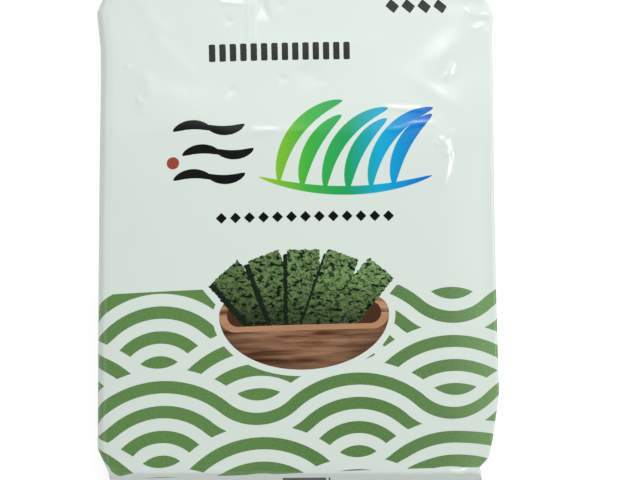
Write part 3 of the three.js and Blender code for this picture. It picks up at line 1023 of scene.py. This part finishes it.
y = rows_along((-FIN_END, 24), (-BACK_END, 129), (BACK_END, 24), (FIN_END,))
x = np.linspace(-FIN_WIDTH, 0, 46)
_, back = heights(y)
past = rise(abs(y), FADE_START, ROOT)
path = np.stack([y, back + RECESS_DEPTH * (1 - past)], 1)
step = np.gradient(path, axis=0)
down = np.stack([step[:, 1], -step[:, 0]], 1) / np.linalg.norm(step, axis=1)[:, None]
thin = 1 - FIN_THINNING * rise(abs(y), ROOT - FIN_TAPER, ROOT)
held = 1 - rise(x, -FIN_FOLD, 0)
pressed = np.sin(2 * np.pi * FIN_LINES * (x + FIN_WIDTH) / FIN_WIDTH) * rise(-x, *FIN_LINES_START)
loose = billow(*np.meshgrid(x / mm, y / mm), *FIN_WAVES) * rise(-x, 2 * mm, FIN_WIDTH)
top_gap = FIN_GAP * held[None, :] * np.ones((len(y), 1))
low_gap = top_gap + (FIN_THICKNESS + FIN_LINE_DEPTH * pressed + loose) * thin[:, None]


def fin_surface(gap):
    """The back's middle line pushed outwards by a gap at each place along and across the fin."""
    moved = path[:, None, :] + down[:, None, :] * gap[:, :, None]
    return np.concatenate([np.broadcast_to(x[None, :, None], (len(y), len(x), 1)), moved], 2)


fin_place = np.stack(np.meshgrid(x / mm, y / mm), 2)
fin = film_sheet("back_seam", fin_surface(top_gap), fin_surface(low_gap), fin_place)
fin.data.materials.append(plain_film)
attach(fin, "root")
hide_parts("film_pack")


# The table
# A large white board just under the pack, which glows evenly so that hardly any shadow shows on it. It is
# not part of the pack.
BOARD_SIZE, BOARD_DROP = 6, 0.1 * mm
BOARD_WHITE, BOARD_ROUGHNESS, BOARD_GLOW = 0.8, 0.7, 0.55
bpy.ops.mesh.primitive_plane_add(size=BOARD_SIZE, location=(0, 0, -BOARD_DROP))
table = bpy.context.object
table.name = "table"
white = bpy.data.materials.new("white_table")
white.use_nodes = True
board_shader = white.node_tree.nodes["Principled BSDF"]
feed(board_shader.inputs["Base Color"], (BOARD_WHITE, BOARD_WHITE, BOARD_WHITE, 1))
feed(board_shader.inputs["Roughness"], BOARD_ROUGHNESS)
feed(board_shader.inputs["Emission Color"], (1, 1, 1, 1))
seen = Number(white.node_tree, new_node(white.node_tree, "LightPath").outputs["Is Camera Ray"])
feed(board_shader.inputs["Emission Strength"], seen * BOARD_GLOW)
table.data.materials.append(white)


# The light
# A white room that is brightest halfway up and dark overhead, so that the ink stays black; a soft light on
# the right; two dim ones near the camera, one mirrored by the level parts of the front and the other by
# slopes that face its upper end; and two narrow bright ones that only sharp creases mirror.
ROOM_LIGHT = [(0.0, 0.45), (0.25, 0.65), (0.55, 1.1), (0.72, 1.1), (0.88, 0.03)]  # sine of height, strength
world = bpy.data.worlds.new("studio")
world.use_nodes = True
room_tree = world.node_tree
way = new_node(room_tree, "SeparateXYZ", Vector=new_node(room_tree, "TexCoord").outputs["Generated"])
room = new_node(room_tree, "ValToRGB", Fac=way.outputs[2])
fill_ramp(room, [(position, (strength, strength, strength, 1)) for position, strength in ROOM_LIGHT])
feed(room_tree.nodes["Background"].inputs["Color"], room.outputs[0])
bpy.context.scene.world = world


def softbox(name, place, width, depth, radiance):
    """A rectangular area light turned to face the pack. Its power is radiance times pi times its area."""
    lamp = bpy.data.lights.new(name, "AREA")
    lamp.shape = "RECTANGLE"
    lamp.size, lamp.size_y = width, depth
    lamp.energy = radiance * np.pi * width * depth
    box = new_object(name, lamp)
    box.location = place
    box.rotation_euler = (Vector(place) - Vector((0, 0, THICKNESS))).to_track_quat("Z", "Y").to_euler()


softbox("key", (0.28, 0.40, 0.48), 0.25, 0.25, 10.6)
softbox("overhead", (-0.05, 0.20, 1.2), 0.50, 0.19, 0.7)
softbox("sheen", (0.04, 0.335, 1.17), 0.62, 0.09, 1.5)
softbox("north_strip", (0.06, 0.40, 1.15), 0.36, 0.02, 60)
softbox("east_strip", (0.40, 0.10, 1.0), 0.36, 0.02, 40)

# The camera
# It looks straight down from 0.9 m above the front, so the view has little perspective.
CAMERA_DISTANCE = 0.9
VIEW_WIDTH = 130.56 * mm  # at the height of the front
VIEW_MIDDLE = (4.5 * mm, -2.0 * mm)
lens = bpy.data.cameras.new("camera")
lens.lens = lens.sensor_width * CAMERA_DISTANCE / VIEW_WIDTH
lens.clip_end = 10
camera = new_object("camera", lens)
camera.location = (*VIEW_MIDDLE, THICKNESS + CAMERA_DISTANCE)
bpy.context.scene.camera = camera
bpy.context.scene.view_settings.view_transform = "Standard"
